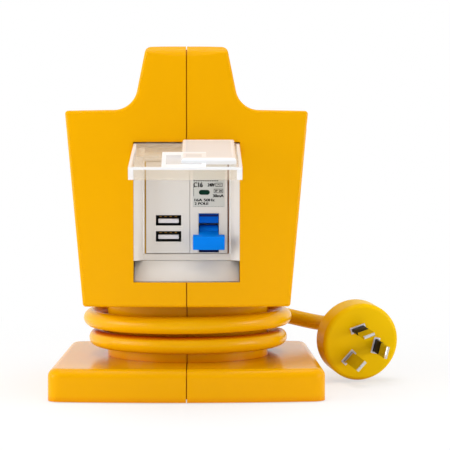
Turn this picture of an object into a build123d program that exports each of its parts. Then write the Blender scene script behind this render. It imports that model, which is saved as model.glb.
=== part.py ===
from build123d import *
import math
import os

os.makedirs("parts", exist_ok=True)

# A carry-about power stand with a residual current breaker: two moulded casing halves hold a
# rail unit behind a hinged window, four socket outlets in the sloping sides, and a drum on
# which the supply cord is wound. X runs to the right, Y away from the viewer and Z up. The
# origin is on the floor, under the middle of the base.

# Fits that are used all over, in millimetres
wall = 2.8
seam_gap = 0.5
tongue_share = 0.5
tongue_reach = 1.4
fit_gap = 0.2
soft_gap = 0.3
shaft_gap = 0.05
overrun = 6.0

# Base
base_width = 133.5
base_depth = 140.0
base_height = 15.6
base_crown_radius = 485.0
base_corner_radius = 7.0
base_edge_radius = 4.0

# Drum between base and head
winding_gap = 29.0
drum_radius = 41.75
drum_y = 2.0

# Head and handle
head_height = 95.1
head_half_bottom = 50.2
head_half_top = 58.9
head_depth = 120.0
head_crown_radius = 300.0
head_corner_radius = 1.5
shoulder_fall = 0.3
head_edge_radius = 1.6
handle_height = 30.6
handle_arch = 0.5
handle_half_root = 25.6
handle_half_top = 19.5
handle_flare_radius = 11.3
handle_corner_radius = 3.5
handle_front_radius = 6.0
finger_length = 78.0
finger_height = 18.4
finger_rise = 1.4
finger_corner_radius = 8.5
finger_edge_radius = 2.0
grip_split_rise = 1.0

# Window, with the insert behind it
window_half = 25.6
window_bottom = 56.6
window_height = 67.5
insert_overlap = 3.4
insert_flange = 2.0
insert_face_depth = 4.6
insert_low_share = 0.6
insert_high_share = 0.72
sill_start_share = 0.65
recess_half = 21.4
recess_depth = 7.2
recess_skin = 2.0
sill_band = 3.3
aperture_half = 20.6
aperture_height = 45.0
aperture_bottom = 70.0

# Rail and the two modules on it
rail_height = 35.0
rail_depth = 7.5
rail_sheet = 1.0
rail_inner_height = 27.0
rail_half_length = 30.0
rail_screw_reach = 7.0
rail_hole_reach = 3.0
arm_inset = 5.0
module_height = 84.0
module_nose = 4.5
module_proud = 0.8
module_depth = 54.5
module_split_x = 1.5
module_half = 19.8
module_nose_gap = 0.3
terminal_inset_z = 6.0
terminal_radius = 2.9
terminal_screw_radius = 2.6
terminal_depth = 11.6
terminal_slot_depth = 0.8
terminal_slot_half = 0.4
breaker_terminal_inset = 4.64
charger_terminal_inset = 5.22

# Lid
lid_half = 25.3
lid_length = 57.6
lid_sheet = 1.7
lid_skirt = 1.5
lid_start = 3.0
lid_open_angle = 77.2
lid_height = 4.0
lid_drop = 2.0
lid_barrel_radius = 1.7
lid_barrel_half = 19.8
lid_pin_radius = 0.9
ear_thickness = 2.3
ear_gap = 0.3
bubble_left = -1.8
bubble_width = 24.6
bubble_height = 2.8
bubble_start = 6.0
bubble_end = 52.0
tab_left = -10.6
tab_width = 19.8
tab_height = 3.0
tab_length = 19.8
hinge_reach = 0.4
bubble_round = 1.2

# Breaker lever and test button
lever_x = 10.7
lever_width = 9.6
lever_pivot_z = 80.6
lever_pivot_depth = 5.3
lever_hub_radius = 3.4
lever_stem = 3.4
lever_reach = 15.0
paddle_width = 15.5
paddle_height = 6.8
paddle_thickness = 3.8
lever_rest_angle = 21.3
lever_pin_radius = 1.0
button_height = 4.6
button_gap = 0.9
button_proud = 0.3
button_depth = 5.0
slot_depth = 11.0
label_width = 15.6
label_height = 18.0
label_bottom = 92.7
label_sheet = 0.2
indicator_depth = 0.6
indicator_width = 5.3
indicator_height = 2.4
indicator_x = 8.55
indicator_z = 99.9

# Charging sockets
port_x = -8.9
port_width = 12.2
port_height = 5.1
port_low_z = 78.45
port_pitch = 7.8
port_sheet = 0.3
port_depth = 12.5
tongue_width = 10.0
tongue_height = 2.1
tongue_length = 11.6
tongue_rise_share = 0.6
board_thickness = 1.6
board_low_inset = 10.5
board_high_inset = 24.5
board_cavity = 8.0

# Mains outlets in the sides
outlet_z = 92.0
outlet_pitch = 54.0
outlet_radius = 20.0
outlet_flange_radius = 22.4
outlet_flange = 2.0
outlet_body_radius = 18.4
outlet_body_depth = 13.0
outlet_sink = 0.3
blade_radius = 7.92
earth_radius = 10.31
pin_spread_angle = 60.0
pin_tilt = 30.0
slot_length = 7.2
slot_width = 2.6
strip_thickness = 0.9
strip_width = 5.0
strip_length = 74.0

# Fasteners
screw_radius = 1.9
screw_head_radius = 3.4
screw_head_height = 2.6
screw_length = 20.0
boss_radius = 5.4
screw_seat_x = 8.0
small_screw_radius = 1.4
small_head_radius = 2.6
small_head_height = 1.6
cross_arm_share = 0.6
cross_width_share = 0.14
boss_inset_y = 10.0
boss_low_z = 48.9
boss_high_z = 132.0
boss_handle_z = 152.0
boss_handle_y = 49.0
boss_base_y = 55.0

# Cord, wound clockwise seen from above
cord_radius = 4.3
turn_low_radius = 47.2
turn_high_radius = 50.1
turn_low_z = 24.7
turn_mid_z = 34.6
turn_mid_radius = 48.8
turn_high_z = 35.4
station_angle = -8.0
exit_angle = 60.0
exit_z = 20.7
exit_offset = 47.3
gland_mouth = -19.0
gland_tip_radius = 4.65
gland_root_radius = 4.9
gland_reach = 20.0
gland_bury = 8.0
gland_wall = 1.0
gland_corner_radius = 3.0
leave_y = 67.0
leave_z = 35.6
leave_slope = -0.12
leave_hump_slope = 0.04
climb_slope = 0.05
tail_first_run = 16.9
tail_last_run = 12.4
tail_arc_share = 0.45
tail_middle = [(58.3, 66.2, 29.0), (71.9, 58.2, 26.4)]
inner_cord_x = -3.0
inner_cord_gap = 6.5
inner_bore_inset = 2.3
inner_cord_end_y = 20.0
clamp_reach_share = 0.62
clamp_length = 22.0
clamp_width = 7.0
clamp_thickness = 2.6
clamp_hole_spread = 8.0
clamp_screw_reach = 7.0
clamp_post_radius = 3.6

# Plug
plug_face = (91.3, 3.0, 20.8)
plug_out = (0.242, -0.962, -0.129)
plug_up = (0.674, 0.0705, 0.739)
plug_radius = 20.6
plug_rim_length = 13.0
plug_taper_length = 11.0
plug_neck_radius = 8.0
plug_relief_length = 8.0
plug_relief_root = 6.4
plug_relief_tip = 5.2
plug_rim_round = 2.4
blade_width = 6.35
blade_thickness = 1.63
blade_length = 17.1
earth_length = 20.0
blade_bury = 8.0

# Places worked out from the sizes
head_bottom = base_height + winding_gap
head_top = head_bottom + head_height
handle_top = head_top + handle_height
head_front = -head_depth / 2
window_top = window_bottom + window_height
grip_split_z = head_top + finger_rise + grip_split_rise
insert_face_y = head_front + insert_face_depth
panel_y = insert_face_y + recess_depth
module_face_y = panel_y - module_proud
module_shoulder_y = module_face_y + module_nose
module_back_y = module_shoulder_y + module_depth
aperture_top = aperture_bottom + aperture_height
rail_z = aperture_bottom + aperture_height / 2
rail_y = module_back_y - rail_depth / 2 + fit_gap
hinge_y = insert_face_y - lid_skirt - hinge_reach
hinge_z = window_top - lid_drop - lid_barrel_radius - soft_gap - fit_gap
side_slope = math.degrees(math.atan((head_half_top - head_half_bottom) / head_height))


def box(x, y, z):
    """A box between the low and high value of each pair."""
    middle = ((x[0] + x[1]) / 2, (y[0] + y[1]) / 2, (z[0] + z[1]) / 2)
    return Pos(*middle) * Box(x[1] - x[0], y[1] - y[0], z[1] - z[0])


def rod(start, end, radius):
    """A round rod from one point to another."""
    path = Vector(*end) - Vector(*start)
    place = Plane(origin=start, z_dir=path)
    low_end = (Align.CENTER, Align.CENTER, Align.MIN)
    return place * Cylinder(radius, path.length, align=low_end)


def cone(start, end, start_radius, end_radius):
    """A tapered rod from one point to another."""
    path = Vector(*end) - Vector(*start)
    place = Plane(origin=start, z_dir=path)
    low_end = (Align.CENTER, Align.CENTER, Align.MIN)
    return place * Cone(start_radius, end_radius, path.length, align=low_end)


def save(node, shape):
    """Writes one node's file."""
    shape.label = node
    export_step(shape, "parts/" + node + ".step")
    print(node, len(shape.solids()), round(shape.volume, 1))


def crowned_plan(half_width, half_depth, crown, inset):
    """A plan outline whose front and rear edges are crowned arcs."""
    x = half_width - inset
    y = half_depth - inset
    arc = crown - inset
    set_back = arc - math.sqrt(arc * arc - x * x)
    corners = [(-x, -y + set_back), (x, -y + set_back), (x, y - set_back), (-x, y - set_back)]
    front = ThreePointArc(corners[0], (0, -y), corners[1])
    right = Line(corners[1], corners[2])
    rear = ThreePointArc(corners[2], (0, y), corners[3])
    left = Line(corners[3], corners[0])
    return make_face(Curve() + [front, right, rear, left])


def one_side(block, side):
    """The part of a block on one side of the seam, or all of it for a side of zero."""
    if side == 0:
        return block
    far = base_width
    other = sorted((side * seam_gap / 2, -side * far))
    return block - box(other, (-far, far), (-far, 2 * far))


def base_core(inset):
    """The base, drawn in from its outside by the inset."""
    plan = crowned_plan(base_width / 2, base_depth / 2, base_crown_radius, inset)
    plan = fillet(plan.vertices(), base_corner_radius - inset)
    height = base_height - 2 * inset
    block = Pos(0, 0, inset) * extrude(plan, height)
    if inset == 0:
        block = fillet(block.faces().sort_by(Axis.Z)[-1].edges(), base_edge_radius)
    return block


def drum_core(inset):
    """The drum, which runs into the base and the head."""
    low = base_height - wall
    high = head_bottom + wall
    return rod((0, drum_y, low), (0, drum_y, high), drum_radius - inset)


def front_outline(inset):
    """The head and handle seen from the front, drawn in by the inset."""
    arch_z = handle_top - handle_arch
    right = [
        (head_half_bottom, head_bottom),
        (head_half_top, head_top - shoulder_fall),
        (handle_half_root, head_top),
        (handle_half_top, arch_z),
    ]
    left = [(-x, z) for x, z in reversed(right)]
    lines = [Line(a, b) for a, b in zip(right, right[1:])]
    lines.append(ThreePointArc(right[-1], (0, handle_top), left[0]))
    lines += [Line(a, b) for a, b in zip(left, left[1:])]
    lines.append(Line(left[-1], right[0]))
    face = make_face(Curve() + lines)
    corners = face.vertices().sort_by(Axis.Y)
    face = fillet(corners[-2:], handle_corner_radius)
    roots = [v for v in face.vertices() if abs(abs(v.X) - handle_half_root) < fit_gap]
    face = fillet(roots, handle_flare_radius)
    face = fillet(face.vertices().sort_by(Axis.Y)[:2], head_corner_radius)
    if inset:
        face = offset(face, -inset, kind=Kind.INTERSECTION)
    return face


def side_outline(inset):
    """The head seen from the side, with the handle's rounded top ends."""
    half = head_depth / 2 - inset
    low = head_bottom - overrun
    high = handle_top - inset
    middle = (low + high) / 2
    face = Pos(0, middle) * Rectangle(2 * half, high - low)
    top = face.vertices().sort_by(Axis.Y)[-2:]
    return fillet(top, handle_front_radius - inset)


def head_core(inset, side):
    """The head with its handle, drawn in by the inset, on one side of the seam or both."""
    reach = head_depth / 2 + overrun
    front = Plane.XZ * front_outline(inset)
    front = extrude(front, amount=reach, both=True)
    plan = crowned_plan(head_half_top + overrun, head_depth / 2, head_crown_radius, inset)
    plan = Pos(0, 0, head_bottom - overrun) * extrude(plan, head_height + handle_height + 2 * overrun)
    block = one_side(front & plan, side)
    if inset == 0:
        block = round_head(block)
    profile = Plane.YZ * side_outline(inset)
    return block & extrude(profile, amount=head_half_top + overrun, both=True)


def finger_gap(grown):
    """The opening for the fingers under the grip, grown by a wall where that is asked for."""
    height = finger_height + 2 * grown
    middle = head_top + finger_rise + finger_height / 2
    radius = finger_corner_radius + grown
    face = Pos(0, middle) * RectangleRounded(finger_length + 2 * grown, height, radius)
    return extrude(Plane.YZ * face, amount=head_half_top + overrun, both=True)


def round_head(block):
    """Softens the outline of the front and rear faces and the shoulders' outer corners."""
    front = head_depth / 2 - 2 * head_edge_radius - head_half_top ** 2 / (2 * head_crown_radius)
    edges = []
    for edge in block.edges():
        points = [edge.position_at(share) for share in (0, 0.5, 1)]
        in_front = all(abs(p.Y) > front for p in points) and abs(points[0].Y - points[2].Y) < front
        in_front = in_front and any(abs(p.X) > seam_gap for p in points)
        shoulder = all(abs(abs(p.X) - head_half_top) < fit_gap for p in points)
        if in_front or (shoulder and edge.geom_type == GeomType.LINE):
            edges.append(edge)
    return fillet(edges, head_edge_radius)


def round_finger_gap(block):
    """Softens the two mouths of the finger opening."""
    low = head_top + finger_rise - fit_gap
    high = low + finger_height + 2 * fit_gap
    half = finger_length / 2 + fit_gap
    edges = []
    for edge in block.edges():
        points = [edge.position_at(share) for share in (0, 0.5, 1)]
        if all(abs(p.Y) < half and low < p.Z < high and abs(p.X) > handle_half_top / 2 for p in points):
            edges.append(edge)
    return fillet(edges, finger_edge_radius)


def casing_core(inset, side=0):
    """Base, drum and head in one, drawn in by the inset."""
    head = head_core(inset, side) - finger_gap(inset)
    if inset == 0:
        head = round_finger_gap(head)
    return one_side(base_core(inset) + drum_core(inset), side) + head


def exit_point(distance, across=0.0):
    """A point on the cord's way out of the drum, by its distance along the way."""
    turn = math.radians(exit_angle)
    out = (math.cos(turn), math.sin(turn))
    along = (math.sin(turn), -math.cos(turn))
    x = out[0] * (exit_offset + across) + along[0] * distance
    y = drum_y + out[1] * (exit_offset + across) + along[1] * distance
    return (x, y, exit_z)


def exit_housing():
    """The lump on the drum in which the cord turns inwards."""
    front = gland_mouth
    back = front - gland_bury - 2 * cord_radius - gland_wall
    top = exit_z + gland_root_radius + gland_wall
    middle = exit_point((front + back) / 2)
    place = Plane(origin=(middle[0], middle[1], 0), x_dir=(Vector(*exit_point(1)) - Vector(*exit_point(0))))
    inner = exit_offset - drum_radius / 2
    outer = gland_root_radius + gland_wall
    low = base_height - wall / 2
    block = place * box(((back - front) / 2, (front - back) / 2), (-inner, outer), (low, top))
    long_edges = block.edges().filter_by(Axis.Z).sort_by(Axis.Y)[-2:]
    return fillet(long_edges, gland_corner_radius)


def exit_bore():
    """The way through the lump and the drum's wall."""
    mouth = exit_point(gland_mouth + overrun / 4)
    back = exit_point(gland_mouth - gland_bury - 2 * cord_radius)
    straight = rod(mouth, back, gland_root_radius + fit_gap / 4)
    inside = (inner_cord_x, drum_y + drum_radius - 4 * wall, exit_z)
    turn = (inner_cord_x, back[1] - inner_bore_inset, exit_z)
    return straight + rod(turn, inside, cord_radius + fit_gap)


# Places of the casing screws, seen from the side
boss_places = [
    (sign * (head_depth / 2 - boss_inset_y), z) for sign in (-1, 1) for z in (boss_low_z, boss_high_z)
]
boss_places += [(sign * boss_handle_y, boss_handle_z) for sign in (-1, 1)]
boss_places += [(sign * boss_base_y, base_height / 2) for sign in (-1, 1)]


def side_plane(side):
    """The plane of a sloping side, its own X to the onlooker's right and its Y up."""
    slope = math.radians(side_slope)
    x = head_half_bottom + (outlet_z - head_bottom) * math.tan(slope)
    normal = (side * math.cos(slope), 0, -math.sin(slope))
    return Plane(origin=(side * x, 0, outlet_z), x_dir=(0, side, 0), z_dir=normal)


def clamp_posts():
    """Two posts over the base's floor that take the screws of the cord clamp."""
    x, y, z = cord_clamp_place()
    top = z + cord_radius - fit_gap
    left = x - clamp_hole_spread
    right = x + clamp_hole_spread
    saddle_top = z - cord_radius - fit_gap
    half = clamp_post_radius
    posts = box((left, right), (y - half, y + half), (saddle_top - wall, saddle_top))
    posts += rod((left, y, wall / 2), (left, y, top), half)
    posts += rod((right, y, saddle_top - wall), (right, y, top), half)
    for place_x in (left, right):
        posts -= rod((place_x, y, top - clamp_screw_reach), (place_x, y, top + overrun), small_screw_radius)
    return posts


def casing_half(side, inner):
    """One half of the casing, with its screw bosses and its share of every opening."""
    far = base_width
    outer = casing_core(0, side) + one_side(exit_housing(), side)
    half = outer - inner
    for y, z in boss_places:
        post = rod((side * seam_gap / 2, y, z), (side * base_width / 2, y, z), boss_radius)
        half += post & outer
    inset = wall * tongue_share
    if side < 0:
        band = box((-tongue_reach, tongue_reach - fit_gap), (-far, far), (-far, 2 * far))
        half += (casing_core(inset + fit_gap / 2) - inner) & band
        half += clamp_posts()
    else:
        band = box((-overrun, tongue_reach), (-far, far), (-far, 2 * far))
        half -= casing_core(inset) & band
    for y, z in boss_places:
        if side > 0:
            half -= rod((0, y, z), (far, y, z), screw_radius + fit_gap)
            half -= rod((screw_seat_x, y, z), (far, y, z), screw_head_radius + soft_gap)
        else:
            half -= rod((overrun, y, z), (screw_seat_x - screw_length - fit_gap, y, z), screw_radius)
    half = half - window_cut() - exit_bore()
    for place in (-1, 1):
        centre = side_plane(side) * Pos(place * outlet_pitch / 2, 0, 0)
        half -= centre * Cylinder(outlet_radius + fit_gap, 4 * wall)
    return half


def window_cut():
    """The opening in the front for the insert and its lid."""
    deep = head_front + insert_face_depth + wall
    return box((-window_half, window_half), (head_front - overrun, deep), (window_bottom, window_top))


def build_casing():
    """Each half is written as its body and its grip, which meet on a level face under the finger gap."""
    inner = casing_core(wall)
    far = base_width
    low = box((-far, far), (-far, far), (-overrun, grip_split_z))
    for side, name in ((-1, "left"), (1, "right")):
        half = casing_half(side, inner)
        save("casing_" + name, half & low)
        save("grip_" + name, half - low)


def casing_screw(y, z):
    shank = rod((screw_seat_x, y, z), (screw_seat_x - screw_length, y, z), screw_radius - fit_gap / 4)
    head = rod((screw_seat_x, y, z), (screw_seat_x + screw_head_height, y, z), screw_head_radius)
    deep = screw_seat_x + screw_head_height / 2
    end = screw_seat_x + screw_head_height + fit_gap
    arm = screw_head_radius * cross_arm_share
    thin = screw_head_radius * cross_width_share
    cross = box((deep, end), (y - arm, y + arm), (z - thin, z + thin))
    cross += box((deep, end), (y - thin, y + thin), (z - arm, z + arm))
    return shank + head - cross


def build_casing_screws():
    save("casing_screws", Compound([casing_screw(y, z) for y, z in boss_places]))


def insert_ears():
    """Two ears that carry the lid's pin."""
    ears = []
    for side in (-1, 1):
        near = side * (lid_barrel_half + ear_gap)
        far = near + side * ear_thickness
        low, high = min(near, far), max(near, far)
        knob = rod((low, hinge_y, hinge_z), (high, hinge_y, hinge_z), lid_barrel_radius)
        root_z = (hinge_z - lid_barrel_radius, hinge_z + lid_barrel_radius)
        root = box((low, high), (hinge_y, insert_face_y), root_z)
        hole_start = (low - overrun, hinge_y, hinge_z)
        hole = rod(hole_start, (high + overrun, hinge_y, hinge_z), lid_pin_radius + shaft_gap / 2)
        ears.append(knob + root - hole)
    return ears


def side_slopes(low, high):
    """The room in front of the modules, whose sides slope out to the window."""
    front = insert_face_y - overrun
    right = [(recess_half, panel_y), (window_half, insert_face_y), (window_half, front)]
    left = [(-x, y) for x, y in reversed(right)]
    face = make_face(Polyline(*right, *left, close=True))
    return Pos(0, 0, (low + high) / 2) * extrude(face, amount=(high - low) / 2, both=True)


def sill_slope(low, high):
    """The room over the sill, which slopes down to the window's lower edge over its whole width."""
    front = insert_face_y - overrun
    fall = overrun * (high - low) / recess_depth
    face = make_face(Polyline((front, low - fall), (panel_y, high), (front, high), close=True))
    return extrude(Plane.YZ * face, amount=window_half, both=True)


def build_insert():
    """The white insert: flange, recess with a sloping sill, aperture, and arms back to the rail."""
    half = window_half + insert_overlap
    low = window_bottom - insert_overlap * insert_low_share
    high = window_top + insert_overlap * insert_high_share
    flange = box((-half, half), (insert_face_y, insert_face_y + insert_flange), (low, high))
    outer_half = window_half + recess_skin
    ceiling = hinge_z - lid_start
    tub_y = (insert_face_y, panel_y + recess_skin)
    tub = box((-outer_half, outer_half), tub_y, (low, ceiling + recess_skin))
    sill_low = window_bottom + recess_skin * sill_start_share
    sill_high = aperture_bottom - sill_band
    recess = side_slopes(sill_high, ceiling) + sill_slope(sill_low, sill_high)
    opening_y = (panel_y - fit_gap, panel_y + overrun)
    opening = box((-aperture_half, aperture_half), opening_y, (aperture_bottom, aperture_top))
    shape = flange + tub - recess - opening
    arm_low = module_half + small_screw_radius
    arm_high = arm_low + wall
    arm_half = rail_inner_height / 2 - arm_inset
    pad_back = rail_y + rail_depth - rail_sheet - fit_gap / 2
    for side in (-1, 1):
        x = sorted((side * arm_low, side * arm_high))
        shape += box(x, (panel_y + recess_skin / 2, pad_back), (rail_z - arm_half, rail_z + arm_half))
        x = sorted((side * arm_low, side * rail_half_length))
        pad = box(x, (rail_y - 2 * rail_sheet, pad_back), (rail_z - arm_half, rail_z + arm_half))
        hole_x = side * (arm_high + small_head_radius + fit_gap)
        hole_end = (hole_x, pad_back - rail_screw_reach, rail_z)
        hole = rod((hole_x, pad_back + overrun, rail_z), hole_end, small_screw_radius)
        shape += pad
        shape -= hole
    for ear in insert_ears():
        shape += ear
    save("breaker_frame", shape)


def build_rail():
    """A steel top-hat rail, screwed to the insert's arms."""
    half = rail_half_length
    brim_z = (rail_z - rail_height / 2, rail_z + rail_height / 2)
    brim = box((-half, half), (rail_y, rail_y + rail_sheet), brim_z)
    hat_z = (rail_z - rail_inner_height / 2, rail_z + rail_inner_height / 2)
    hat = box((-half, half), (rail_y, rail_y + rail_depth), hat_z)
    inner = rail_inner_height / 2 - rail_sheet
    hollow_y = (rail_y - rail_sheet, rail_y + rail_depth - rail_sheet)
    hollow = box((-half, half), hollow_y, (rail_z - inner, rail_z + inner))
    rail = brim + hat - hollow
    screws = []
    arm_high = module_half + small_screw_radius + wall
    for side in (-1, 1):
        x = side * (arm_high + small_head_radius + fit_gap)
        back = rail_y + rail_depth
        seat = (x, back, rail_z)
        hole_end = (x, back - rail_hole_reach, rail_z)
        rail -= rod((x, back + overrun, rail_z), hole_end, small_screw_radius + fit_gap / 2)
        shank = rod(seat, (x, back - rail_screw_reach, rail_z), small_screw_radius - fit_gap / 4)
        screws.append(shank + rod(seat, (x, back + small_head_height, rail_z), small_head_radius))
    save("din_rail", rail)
    save("din_rail_screws", Compound(screws))


def module_block(x_low, x_high):
    """A rail module: a nose through the aperture, a deeper body, and the notch for the rail."""
    nose_low = aperture_bottom + module_nose_gap
    nose_high = aperture_top - module_nose_gap
    low = rail_z - module_height / 2
    high = rail_z + module_height / 2
    nose = box((x_low, x_high), (module_face_y, module_back_y), (nose_low, nose_high))
    body = box((x_low, x_high), (module_shoulder_y, module_back_y), (low, high))
    half = rail_height / 2 + soft_gap
    notch_y = (rail_y - fit_gap, module_back_y + overrun)
    notch = box((x_low - overrun, x_high + overrun), notch_y, (rail_z - half, rail_z + half))
    return nose + body - notch


def terminals(xs):
    """Bores for terminal screws in a module's shoulders, and the screws in them."""
    bores = []
    screws = []
    for x in xs:
        for sign in (-1, 1):
            z = rail_z + sign * (module_height / 2 - terminal_inset_z)
            deep = module_shoulder_y + terminal_depth
            bores.append(rod((x, module_shoulder_y - overrun, z), (x, deep, z), terminal_radius))
            head = module_shoulder_y + terminal_radius
            screw = rod((x, head, z), (x, deep - fit_gap, z), terminal_screw_radius)
            slot = box(
                (x - terminal_screw_radius, x + terminal_screw_radius),
                (head - fit_gap, head + terminal_slot_depth),
                (z - terminal_slot_half, z + terminal_slot_half),
            )
            screws.append(screw - slot)
    return bores, screws


def build_breaker():
    """The breaker: case, label, indicator and terminal screws."""
    low_x = module_split_x + fit_gap / 2
    case = module_block(low_x, module_half)
    lever_y = module_face_y + lever_pivot_depth
    slot_half = lever_width / 2 + fit_gap
    slot_low = aperture_bottom + 2 * module_nose_gap
    slot_high = lever_pivot_z + lever_hub_radius + button_gap + button_height + fit_gap
    slot_y = (module_face_y - overrun, module_face_y + slot_depth)
    case -= box((lever_x - slot_half, lever_x + slot_half), slot_y, (slot_low, slot_high))
    pin_half = paddle_width / 2 - 2 * fit_gap
    pin_ends = ((lever_x - pin_half, lever_y, lever_pivot_z), (lever_x + pin_half, lever_y, lever_pivot_z))
    case -= rod(*pin_ends, lever_pin_radius + shaft_gap / 2)
    label_x = (lever_x - label_width / 2, lever_x + label_width / 2)
    label_z = (label_bottom, label_bottom + label_height)
    case -= box(label_x, (module_face_y - overrun, module_face_y + label_sheet), label_z)
    pill_face = Pos(indicator_x, indicator_z) * SlotOverall(indicator_width, indicator_height)
    pill = Plane.XZ * pill_face
    sunk = Pos(0, module_face_y, 0) * extrude(pill, amount=-indicator_depth)
    case -= Pos(0, label_sheet, 0) * sunk
    hole = Pos(0, module_face_y - label_sheet, 0) * extrude(pill, amount=-indicator_depth)
    label = box(label_x, (module_face_y, module_face_y + label_sheet), label_z) - hole
    bores, screws = terminals((low_x + breaker_terminal_inset, module_half - breaker_terminal_inset))
    for bore in bores:
        case -= bore
    save("breaker_case", case)
    save("breaker_label", label)
    save("breaker_indicator", sunk)
    save("breaker_terminal_screws", Compound(screws))
    save("breaker_lever_pin", rod(*pin_ends, lever_pin_radius))


def build_lever():
    """The toggle, drawn level and then turned down to its rest."""
    pivot = (lever_x, module_face_y + lever_pivot_depth, lever_pivot_z)
    half = lever_width / 2
    hub = rod((lever_x - half, pivot[1], pivot[2]), (lever_x + half, pivot[1], pivot[2]), lever_hub_radius)
    stem_end = pivot[1] - lever_reach + paddle_thickness / 2
    stem_z = (pivot[2] - lever_stem / 2, pivot[2] + lever_stem / 2)
    stem = box((lever_x - half, lever_x + half), (stem_end, pivot[1]), stem_z)
    paddle = box(
        (lever_x - paddle_width / 2, lever_x + paddle_width / 2),
        (pivot[1] - lever_reach, pivot[1] - lever_reach + paddle_thickness),
        (pivot[2] - paddle_height / 2, pivot[2] + paddle_height / 2),
    )
    paddle = fillet(paddle.edges(), paddle_thickness / 4)
    lever = hub + stem + paddle
    lever -= rod(
        (lever_x - paddle_width, pivot[1], pivot[2]),
        (lever_x + paddle_width, pivot[1], pivot[2]),
        lever_pin_radius + shaft_gap,
    )
    lever = lever.rotate(Axis(pivot, (1, 0, 0)), lever_rest_angle)
    save("breaker_lever", lever)


def build_button():
    """The test button over the toggle."""
    low = lever_pivot_z + lever_hub_radius + button_gap
    x = (lever_x - lever_width / 2, lever_x + lever_width / 2)
    y = (module_face_y - button_proud, module_face_y - button_proud + button_depth)
    button = box(x, y, (low, low + button_height))
    front = button.faces().sort_by(Axis.Y)[0]
    save("breaker_test_button", fillet(front.edges(), button_proud))


def build_charger():
    """The charging module with two ports, their sheet shells and tongues, and the board."""
    case = module_block(-module_half, module_split_x - fit_gap / 2)
    cavity_y = (module_face_y + port_depth, module_face_y + port_depth + board_cavity)
    cavity_x = (-module_half + board_thickness, module_split_x - fit_gap / 2 - board_thickness)
    board_low = rail_z - module_height / 2 + board_low_inset
    board_high = rail_z + module_height / 2 - board_high_inset
    case -= box(cavity_x, cavity_y, (board_low, board_high))
    for count, name in enumerate(("lower", "upper")):
        z = port_low_z + count * port_pitch
        half_w = port_width / 2
        half_h = port_height / 2
        out_w = half_w + port_sheet
        out_h = half_h + port_sheet
        pocket = box(
            (port_x - out_w - shaft_gap, port_x + out_w + shaft_gap),
            (module_face_y - overrun, cavity_y[0] + fit_gap),
            (z - out_h - shaft_gap, z + out_h + shaft_gap),
        )
        case -= pocket
        mouth = module_face_y + port_sheet
        shell = box((port_x - out_w, port_x + out_w), (mouth, cavity_y[0]), (z - out_h, z + out_h))
        hollow_y = (mouth - overrun, cavity_y[0] - port_sheet)
        shell -= box((port_x - half_w, port_x + half_w), hollow_y, (z - half_h, z + half_h))
        tongue_back = cavity_y[0] - port_sheet - fit_gap / 4
        tongue_z = z - half_h + tongue_height * tongue_rise_share
        tongue = box(
            (port_x - tongue_width / 2, port_x + tongue_width / 2),
            (tongue_back - tongue_length, tongue_back),
            (tongue_z, tongue_z + tongue_height),
        )
        save("usb_shell_" + name, shell)
        save("usb_tongue_" + name, tongue)
    board_y = cavity_y[0] + fit_gap
    board = box(
        (cavity_x[0] + fit_gap, cavity_x[1] - fit_gap),
        (board_y, board_y + board_thickness),
        (board_low + fit_gap, board_high - fit_gap),
    )
    left = -module_half + charger_terminal_inset
    bores, screws = terminals((left, module_split_x - charger_terminal_inset))
    for bore in bores:
        case -= bore
    save("usb_case", case)
    save("usb_circuit_board", board)
    save("usb_terminal_screws", Compound(screws))


def lid_box(x, along, out):
    """A box in the closed lid's own measures: along runs down from the pin, out towards the viewer."""
    y = (hinge_y - out[1], hinge_y - out[0])
    z = (hinge_z - along[1], hinge_z - along[0])
    return box(x, y, z)


def lid_wedge(x, along, out):
    """A wedge on the lid, high at its start and down to the sheet at the lid's free end."""
    points = [
        (hinge_y - out[0], hinge_z - along[0]),
        (hinge_y - out[2], hinge_z - along[0]),
        (hinge_y - out[1], hinge_z - along[1]),
        (hinge_y - out[0], hinge_z - along[1]),
    ]
    face = make_face(Polyline(*points, close=True))
    block = extrude(Plane.YZ * face, amount=x[1] - x[0])
    low = block.bounding_box().min.X
    return Pos(x[0] - low, 0, 0) * block


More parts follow.
